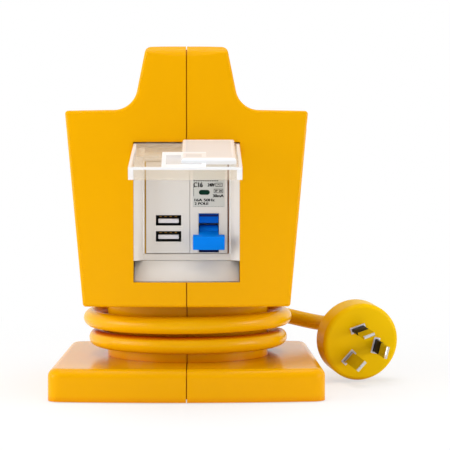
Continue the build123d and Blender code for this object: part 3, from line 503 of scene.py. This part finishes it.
def edit_all():
    """Goes into edit mode with everything selected."""
    bpy.ops.object.mode_set(mode="EDIT")
    bpy.ops.mesh.select_all(action="SELECT")


def pick_faces(piece, wanted):
    """Goes into edit mode with only the wanted faces selected."""
    bpy.ops.object.mode_set(mode="EDIT")
    bpy.ops.mesh.select_mode(type="FACE")
    bpy.ops.mesh.select_all(action="DESELECT")
    bpy.ops.object.mode_set(mode="OBJECT")
    for face in piece.data.polygons:
        face.select = wanted(face)
    bpy.ops.object.mode_set(mode="EDIT")


def draw_out(x, y, z):
    """Pulls the selected faces out by so many millimetres."""
    bpy.ops.mesh.extrude_region_move(TRANSFORM_OT_translate={"value": (x * MM, y * MM, z * MM)})


def turn_outwards():
    """Makes all faces point outwards, and leaves edit mode."""
    bpy.ops.mesh.select_all(action="SELECT")
    bpy.ops.mesh.normals_make_consistent(inside=False)
    bpy.ops.object.mode_set(mode="OBJECT")


def round_edges(piece, width, segments=2):
    bevel = piece.modifiers.new("rounding", "BEVEL")
    bevel.width = width * MM
    bevel.segments = segments
    bevel.limit_method = "ANGLE"
    bevel.angle_limit = math.radians(30)
    bpy.ops.object.modifier_apply(modifier="rounding")


def repeat(piece, count, step):
    """The same shape again and again, a step apart."""
    row = piece.modifiers.new("row", "ARRAY")
    row.use_relative_offset = False
    row.use_constant_offset = True
    row.count = count
    row.constant_offset_displace = [v * MM for v in step]
    bpy.ops.object.modifier_apply(modifier="row")


def join(main, others):
    """Makes the other pieces part of the main one."""
    bpy.ops.object.select_all(action="DESELECT")
    for piece in others:
        piece.select_set(True)
    main.select_set(True)
    bpy.context.view_layer.objects.active = main
    bpy.ops.object.join()


def opened(piece, wanted, width):
    """Cuts an opening through a block's two wanted faces, and leaves a frame of that width."""
    pick_faces(piece, wanted)
    bpy.ops.mesh.inset(thickness=width * MM)
    bpy.ops.mesh.bridge_edge_loops()
    bpy.ops.object.mode_set(mode="OBJECT")
    return piece


def framed(x, y, z, width):
    """A frame round an opening that faces the viewer."""
    return opened(block(x, y, z), lambda face: abs(face.normal.y) > 0.9, width)


def disc(radius, around):
    """A flat round face, as a start for shaping in edit mode."""
    bpy.ops.mesh.primitive_circle_add(vertices=around, radius=radius * MM, fill_type="NGON")
    edit_all()
    return bpy.context.object


def aim(piece, place, axis):
    """Puts a piece that was made upright at its place, along its axis."""
    piece.rotation_mode = "QUATERNION"
    piece.rotation_quaternion = Vector((0, 0, 1)).rotation_difference(Vector(axis))
    piece.location = [v * MM for v in place]
    apply_place()
    return piece


def turned(steps, place, axis, around=48):
    """A round piece made ring by ring, each step a radius and a distance along its axis."""
    radius, at = steps[0]
    piece = disc(radius, around)
    for next_radius, next_at in steps[1:]:
        draw_out(0, 0, next_at - at)
        grow = next_radius / radius
        bpy.ops.transform.resize(value=(grow, grow, 1))
        radius, at = next_radius, next_at
    turn_outwards()
    return aim(piece, place, axis)


# The breaker's face: print, toggle and test button
PRINT_DEPTH = 0.05
PRINT_PROUD = 0.03
STROKE_SHIFT = (0.08, 0, 0.015)


def words(name, text, x, z, strokes=3):
    """Lettering fitted between two marks across and two up, its strokes thickened by shifted copies."""
    bpy.ops.object.text_add()
    piece = bpy.context.object
    piece.data.body = text
    piece.data.extrude = 0.02
    bpy.ops.object.convert(target="MESH")
    xs = [v.co.x for v in piece.data.vertices]
    ys = [v.co.y for v in piece.data.vertices]
    wide = (x[1] - x[0]) * MM / (max(xs) - min(xs))
    high = (z[1] - z[0]) * MM / (max(ys) - min(ys))
    piece.scale = (wide, high, MM)
    piece.rotation_euler = (math.radians(90), 0, 0)
    piece.location = (x[0] * MM - min(xs) * wide, (FACE_Y - PRINT_PROUD) * MM, z[0] * MM - min(ys) * high)
    apply_place()
    repeat(piece, strokes, STROKE_SHIFT)
    settle(piece, name, ink)


def label_print():
    words("label_rating", "C16", (3.2, 7.5), (102.4, 104.7), 5)
    words("label_voltage", "240V", (10.1, 13.5), (102.7, 104.3), 4)
    words("label_leakage", "30mA", (12.6, 17.8), (97.5, 98.9), 4)
    words("label_frequency", "16A 50Hz", (3.7, 13.4), (95.5, 96.8), 4)
    words("label_poles", "2 POLE", (3.7, 10.4), (93.8, 95.0), 4)
    words("label_class", "IP 20", (13.8, 17.1), (100.1, 101.1))
    words("label_symbol", "~", (14.8, 16.6), (103.3, 103.8))
    sheet = (FACE_Y - PRINT_DEPTH, FACE_Y + PRINT_DEPTH)
    for name, x, z, width in (("label_box", (14.0, 17.4), (102.6, 104.5), 0.25),
                              ("label_number_box", (13.2, 17.7), (99.6, 101.6), 0.22)):
        settle(framed(x, sheet, z, width), name, ink)
    for name, start, size, count, step in (
            ("label_top_dots", (3.3, 105.3), (0.75, 0.5), 11, (1.12, 0, 0)),
            ("label_low_dots", (3.4, 92.9), (0.3, 0.16), 21, (0.7, 0, 0)),
            ("label_side_dots", (3.2, 98.2), (0.32, 0.6), 5, (0, 0, 0.95))):
        dot = block((start[0], start[0] + size[0]), sheet, (start[1], start[1] + size[1]))
        round_edges(dot, 0.04, 1)
        repeat(dot, count, step)
        settle(dot, name, ink)


# The toggle's stem: its first length, its half height, and each stage's growth across and up and length
STEM_START = 5.8
STEM_HALF = 1.7
STEM_STAGES = (
    (1.03, 1.0, 1.6), (1.06, 1.0, 1.4), (1.1, 1.0, 1.1), (1.13, 1.0, 0.8), (1.18, 1.15, 0.6),
    (1.0, 1.74, 0.25), (1.0, 1.0, 3.3),
)


def toggle():
    """The toggle, whose stem flares out to a wide rounded paddle."""
    pivot_y, pivot_z = TOGGLE_PIVOT
    height = (pivot_z - STEM_HALF, pivot_z + STEM_HALF)
    stem = block((TOGGLE_LEFT, TOGGLE_RIGHT), (pivot_y - STEM_START, pivot_y), height)
    for wide, high, step in STEM_STAGES:
        pick_faces(stem, lambda face: face.normal.y < -0.9)
        draw_out(0, -step, 0)
        bpy.ops.transform.resize(value=(wide, 1, high))
        bpy.ops.object.mode_set(mode="OBJECT")
    round_edges(stem, 0.7, 3)
    length = TOGGLE_RIGHT - TOGGLE_LEFT
    hub_steps = [(2.9, 0), (3.4, 0.5), (3.4, length - 0.5), (2.9, length)]
    hub = turned(hub_steps, (TOGGLE_LEFT, pivot_y, pivot_z), (1, 0, 0))
    join(stem, [hub])
    edit_all()
    bpy.ops.transform.rotate(value=math.radians(-TOGGLE_REST_ANGLE), orient_axis="X",
                             center_override=(0, pivot_y * MM, pivot_z * MM))
    bpy.ops.object.mode_set(mode="OBJECT")
    settle(stem, "toggle_lever", blue, body="lever")
    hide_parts("breaker_lever")


# Low and high marks across, back and up of the painted shade under the toggle and along the button's top
SHADE_BLOCK = (6.0, 15.4), (-47.6, -40.0), (70.7, 76.4)
BUTTON_SHADOW = (6.1, 15.3), (-49.45, -49.2), (88.1, 89.2)


def button_details():
    """Painted shade: a navy block in the slot under the toggle, and a navy strip along the test button's top
    as its painted shadow.
    """
    shade_block = block(*SHADE_BLOCK)
    round_edges(shade_block, 0.3)
    settle(shade_block, "toggle_shade_block", navy_shade)
    top = block(*BUTTON_SHADOW)
    round_edges(top, 0.08, 1)
    settle(top, "button_top_shadow", navy_shade, body="test_button")


# The same kind of marks for a port, the last pair from the port's middle
PORT_BEZEL = (-16.1, -1.7), (-49.14, -48.9), (-3.55, 3.55)
PORT_BEZEL_WIDTH = 1.0
PORT_TONGUE = (-13.9, -3.9), (-48.5, -36.9), (-1.3, 0.8)
PORT_CONTACT = (-13.4, -12.3), (-48.3, -40.0), (1.7, 1.95)
CONTACT_STEP = (2.5, 0, 0)


def lifted(marks, middle):
    """Marks whose last pair counts from the middle's height."""
    x, y, z = marks
    return x, y, (middle + z[0], middle + z[1])


def port_details():
    """A faint frame round each charging port, its tongue, and four contacts over it."""
    for name, middle in PORT_PLACES:
        bezel = framed(*lifted(PORT_BEZEL, middle), PORT_BEZEL_WIDTH)
        round_edges(bezel, 0.06)
        settle(bezel, "port_bezel_" + name, case_white)
        tongue = block(*lifted(PORT_TONGUE, middle))
        round_edges(tongue, 0.2)
        settle(tongue, "port_tongue_" + name, tongue_grey)
        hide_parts("usb_tongue_" + name)
        strip = block(*lifted(PORT_CONTACT, middle))
        round_edges(strip, 0.06)
        repeat(strip, 4, CONTACT_STEP)
        settle(strip, "port_contacts_" + name, gold)


# The white insert: sloping sides and sill round the flat that holds the modules, and the lid's ears
BAND_DEPTH = 1.2
BAND_TOP = 123.9
EAR_WIDTH = 2.3
EAR_HALF = 1.5
EAR_Y = (-57.2, -55.0)
EAR_PLACES = (-22.4, 20.1)
# Arm and pad on the right, the left ones mirror them
ARM = (21.2, 24.0), (-47.2, 12.8), (84.0, 101.0)
PAD = (21.2, 30.0), (4.4, 12.8), (84.0, 101.0)


def flange_and_ears():
    """The level band over the opening, two ears with the pin's knobs, and the arms back to the rail."""
    half = WINDOW_WIDTH / 2
    bits = [block((-half, half), (WINDOW_FRONT, WINDOW_FRONT + BAND_DEPTH), (WINDOW_TOP, BAND_TOP))]
    knob = [(1.4, 0), (1.7, 0.3), (1.7, EAR_WIDTH - 0.3), (1.4, EAR_WIDTH)]
    for low in EAR_PLACES:
        bits.append(turned(knob, (low, PIN_Y, PIN_Z), (1, 0, 0), around=32))
        bits.append(block((low, low + EAR_WIDTH), EAR_Y, (PIN_Z - EAR_HALF, PIN_Z + EAR_HALF)))
        for x, y, z in (ARM, PAD):
            bits.append(block(sorted(math.copysign(v, low) for v in x), y, z))
    return bits


def window_bezel():
    """Slopes left and right of the modules down to their flat, over a sill as wide as the window."""
    back = WINDOW_FRONT + RECESS_DEPTH
    sill_rise = SILL_TOP - WINDOW_FLOOR
    sill = panel(WINDOW_WIDTH, math.hypot(sill_rise, RECESS_DEPTH), (WINDOW_FRONT + back) / 2,
                 (WINDOW_FLOOR + SILL_TOP) / 2, math.atan2(sill_rise, RECESS_DEPTH))
    height = WINDOW_TOP - SILL_TOP
    bezel = panel(WINDOW_WIDTH, height, WINDOW_FRONT, (WINDOW_TOP + SILL_TOP) / 2, math.radians(90))
    edit_all()
    stages = (
        ((0, RECESS_DEPTH, 0), RECESS_WIDTH / WINDOW_WIDTH, 1),
        ((0, 0.05, APERTURE_LIFT), APERTURE_WIDTH / RECESS_WIDTH, APERTURE_HEIGHT / height),
        ((0, APERTURE_DEPTH, 0), 1, 1),
    )
    for move, wide, high in stages:
        draw_out(*move)
        bpy.ops.transform.resize(value=(wide, 1, high))
    bpy.ops.mesh.delete(type="FACE")
    bpy.ops.object.mode_set(mode="OBJECT")
    front = (WINDOW_FRONT + 0.1) * MM
    bottom = (SILL_TOP + 0.1) * MM
    pick_faces(bezel, lambda face: face.center.y < front or face.center.z < bottom)
    bpy.ops.mesh.delete(type="FACE")
    turn_outwards()
    flat = max(bezel.data.polygons, key=lambda face: abs(face.normal.y))
    if flat.normal.y > 0:
        bpy.ops.object.mode_set(mode="EDIT")
        bpy.ops.mesh.flip_normals()
        bpy.ops.object.mode_set(mode="OBJECT")
    join(bezel, [sill])
    sheet = bezel.modifiers.new("sheet", "SOLIDIFY")
    sheet.thickness = INSERT_SHEET * MM
    sheet.offset = -1
    bpy.ops.object.modifier_apply(modifier="sheet")
    join(bezel, flange_and_ears())
    round_edges(bezel, 0.25)
    settle(bezel, "window_bezel", white)
    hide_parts("breaker_frame")


# Beside the modules: side, left mark of the painted edge highlight and of the casing's rib, and the rib's
# material, painted lit on the left and painted shaded on the right
BESIDE = (("left", -21.6, -20.7, rib_painted_lit), ("right", 20.6, 19.9, rib_painted_shade))
HIGHLIGHT_WIDTH = 1.0
HIGHLIGHT_Y = (-48.4, -48.0)
RIB_WIDTH = 0.8
RIB_Y = (-47.9, -45.2)
RIB_BEYOND = 0.5


def aperture_trim():
    """Painted highlights as near-white strips beside the modules, and the casing's ribs glimpsed in the gaps
    behind them, painted lit on the left and painted shaded on the right.
    """
    low, high = APERTURE_BOTTOM, APERTURE_BOTTOM + APERTURE_HEIGHT
    for side, edge, rib, finish in BESIDE:
        strip = block((edge, edge + HIGHLIGHT_WIDTH), HIGHLIGHT_Y, (low, high))
        round_edges(strip, 0.12)
        settle(strip, "aperture_edge_highlight_" + side, edge_highlight_white)
        glimpse = block((rib, rib + RIB_WIDTH), RIB_Y, (low - RIB_BEYOND, high + RIB_BEYOND))
        round_edges(glimpse, 0.1, 1)
        settle(glimpse, "aperture_rib_" + side, finish)


# The plug: collars round the pins, sleeves on two of them, ribs on the strain relief
plug_out = Vector(PLUG_OUT).normalized()
plug_across = Vector(PLUG_UP).cross(plug_out).normalized()
plug_turn = Matrix((plug_across, plug_out.cross(plug_across), plug_out)).transposed().to_4x4()
plug_turn.translation = Vector(PLUG_PLACE) * MM
pin_x = PIN_REACH * math.sin(math.radians(PIN_SPREAD))
pin_y = PIN_REACH * math.cos(math.radians(PIN_SPREAD))
# Each pin's name, place on the plug's face and turn
PINS = (
    ("active", -pin_x, pin_y, -PIN_TILT),
    ("neutral", pin_x, pin_y, PIN_TILT),
    ("earth", 0.0, -EARTH_REACH, 0),
)
# Marks across, along and out of an upright pin at the face's middle
COLLAR = (-1.75, 1.75), (-4.3, 4.3), (-0.5, 0.35)
COLLAR_WIDTH = 0.85
SLEEVE = (-0.875, 0.875), (-3.235, 3.235), (-0.5, 8.4)


def put_on_plug(piece, x, y, turn, name, finish):
    """Moves a piece made at the face's middle to its pin, and lists it with what hangs on the cord."""
    piece.data.transform(Matrix.Rotation(math.radians(turn), 4, "Z"))
    piece.data.transform(Matrix.Translation((x * MM, y * MM, 0)))
    piece.data.transform(plug_turn)
    settle(piece, name, finish)
    ON_THE_CORD.append(piece)


def plug_details():
    """Each pin's collar and sleeve, and the ribbed strain relief behind the plug."""
    for name, x, y, turn in PINS:
        collar = opened(block(*COLLAR), lambda face: abs(face.normal.z) > 0.9, COLLAR_WIDTH)
        round_edges(collar, 0.15)
        put_on_plug(collar, x, y, turn, "pin_collar_" + name, collar_grey)
        if name != "earth":
            sleeve = block(*SLEEVE)
            round_edges(sleeve, 0.12)
            put_on_plug(sleeve, x, y, turn, "pin_sleeve_" + name, sleeve_black)
    steps = [(8.0, 0.0), (7.2, 0.6)]
    for rib in range(5):
        at = 0.9 + rib * 2.1
        wide = 6.6 - rib * 0.3
        steps += [(wide, at), (wide, at + 1.1), (wide - 0.7, at + 1.3), (wide - 0.7, at + 1.9)]
    steps += [(5.1, 11.6), (4.7, 12.6)]
    relief = turned(steps, Vector(PLUG_PLACE) - plug_out * PLUG_DEPTH, -plug_out)
    settle(relief, "plug_relief_ribs", plug_yellow, smooth=50)
    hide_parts("plug_strain_relief")
    ON_THE_CORD.append(relief)


def gland_details():
    """The ribbed strain relief where the cord leaves the drum."""
    steps = [(4.9, 0.0), (4.9, 8.0)]
    for rib in range(6):
        at = 8.6 + rib * 2.9
        wide = 5.15 - rib * 0.05
        steps += [(wide - 0.45, at), (wide, at + 0.3), (wide, at + 1.7), (wide - 0.45, at + 2.0)]
    steps += [(4.7, GLAND_LENGTH - 1.0), (4.45, GLAND_LENGTH)]
    out = Vector((math.sin(math.radians(GLAND_ANGLE)), -math.cos(math.radians(GLAND_ANGLE)), 0))
    relief = turned(steps, Vector(GLAND_TIP) - out * GLAND_LENGTH, out)
    settle(relief, "gland_ribs", sheath, smooth=50)
    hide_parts("cord_gland")


# The raised ring of an outlet, sunk a little into the casing
RING_WIDTH = 1.9
RING_HEIGHT = 1.1
RING_SUNK = 0.4


def outlet_details():
    """A raised ring round each outlet in the sloping sides."""
    slope = math.atan((HEAD_HALF_TOP - HEAD_HALF_BOTTOM) / HEAD_HEIGHT)
    reach = HEAD_HALF_BOTTOM + (OUTLET_Z - HEAD_BOTTOM) * math.tan(slope)
    for side, side_name in ((-1, "left"), (1, "right")):
        normal = Vector((side * math.cos(slope), 0, -math.sin(slope)))
        for y, place in ((-OUTLET_Y, "front"), (OUTLET_Y, "rear")):
            ring = disc(OUTLET_RADIUS, around=72)
            bpy.ops.mesh.inset(thickness=RING_WIDTH * MM)
            bpy.ops.mesh.delete(type="FACE")
            bpy.ops.mesh.select_all(action="SELECT")
            draw_out(0, 0, RING_HEIGHT)
            turn_outwards()
            round_edges(ring, 0.4, 3)
            aim(ring, Vector((side * reach, y, OUTLET_Z)) - normal * RING_SUNK, normal)
            settle(ring, "outlet_ring_" + side_name + "_" + place, outlet_white)


label_print()
toggle()
button_details()
port_details()
window_bezel()
aperture_trim()
plug_details()
gland_details()
outlet_details()


# Floor, sky and lamps
FLOOR_GAP = 0.4
FLOOR_WIDTH = 6000


def mixed(tree, share, first, second, output):
    """Shows the first surface, or as much of the second as the share says."""
    choose = tree.nodes.new("ShaderNodeMixShader")
    for socket, value in zip(choose.inputs, (share, first.outputs[0], second.outputs[0])):
        feed(tree, socket, value)
    feed(tree, tree.nodes[output].inputs["Surface"], choose.outputs[0])


def seen_directly(tree, *rays):
    """One for rays straight from the eye and for those of the named kinds."""
    path = tree.nodes.new("ShaderNodeLightPath")
    seen = path.outputs["Is Camera Ray"]
    for ray in rays:
        seen = number(tree, "MAXIMUM", seen, path.outputs[ray])
    return seen


def floor():
    """A pale floor that keeps the stand's shadow and is pure white further away."""
    bpy.ops.mesh.primitive_plane_add(size=1, location=(0, 0, -FLOOR_GAP * MM))
    ground = bpy.context.object
    ground.name = "floor"
    ground.scale = (FLOOR_WIDTH * MM, FLOOR_WIDTH * MM, 1)
    material = bpy.data.materials.new("pale_floor")
    material.use_nodes = True
    tree = material.node_tree
    shader = tree.nodes["Principled BSDF"]
    shader.inputs["Base Color"].default_value = (0.9, 0.9, 0.9, 1)
    shader.inputs["Roughness"].default_value = 0.8
    white_light = tree.nodes.new("ShaderNodeEmission")
    white_light.inputs["Strength"].default_value = 1.0
    place = tree.nodes.new("ShaderNodeNewGeometry")
    far = tree.nodes.new("ShaderNodeVectorMath")
    far.operation = "LENGTH"
    feed(tree, far.inputs[0], place.outputs["Position"])
    fade = spread(tree, far.outputs["Value"], 0.08, 0.4, 0.6, 1.0, "SMOOTHSTEP")
    share = number(tree, "MULTIPLY", fade, seen_directly(tree, "Is Glossy Ray", "Is Transmission Ray"))
    mixed(tree, share, shader, white_light, "Material Output")
    ground.data.materials.append(material)
    bpy.ops.object.select_all(action="DESELECT")


def sky(strength):
    """White for the eye, softer as light, and dim in front where only reflections see it."""
    world = bpy.data.worlds.new("studio")
    scene.world = world
    world.use_nodes = True
    tree = world.node_tree
    soft = tree.nodes["Background"]
    soft.inputs["Color"].default_value = (1, 1, 1, 1)
    soft.inputs["Strength"].default_value = strength
    seen = tree.nodes.new("ShaderNodeBackground")
    seen.inputs["Color"].default_value = (1, 1, 1, 1)
    direction = tree.nodes.new("ShaderNodeTexCoord")
    parts = tree.nodes.new("ShaderNodeSeparateXYZ")
    feed(tree, parts.inputs[0], direction.outputs["Generated"])
    studio = spread(tree, parts.outputs["Y"], -0.9, -0.2, 0.2, 1.0, "SMOOTHSTEP")
    bright = number(tree, "MAXIMUM", seen_directly(tree, "Is Transmission Ray"), studio)
    feed(tree, seen.inputs["Strength"], bright)
    mixed(tree, seen_directly(tree, "Is Glossy Ray", "Is Transmission Ray"), soft, seen, "World Output")


def lamp(name, place, target, size, power):
    data = bpy.data.lights.new(name, "AREA")
    data.energy = power
    data.size = size
    light = bpy.data.objects.new(name, data)
    scene.collection.objects.link(light)
    light.location = place
    light.rotation_mode = "QUATERNION"
    light.rotation_quaternion = (Vector(place) - Vector(target)).to_track_quat("Z", "Y")


floor()
sky(0.5)
# Places and sizes in metres, powers in watts
lamp("left_lamp", (-1.35, -0.7, 0.35), (0, 0, 0.06), 0.9, 10.2)
lamp("right_lamp", (1.35, -0.65, 0.3), (0, 0, 0.06), 0.9, 3.4)
lamp("low_left_lamp", (-1.0, -0.15, 0.1), (0, 0, 0.03), 0.5, 4.0)
lamp("low_right_lamp", (1.0, -0.3, 0.08), (0, 0, 0.03), 0.5, 5.0)
lamp("handle_lamp", (-0.05, -0.3, 0.45), (0, 0, 0.16), 0.3, 0.26)
lamp("top_lamp", (0.0, -0.1, 1.4), (0, 0, 0.08), 0.9, 9)
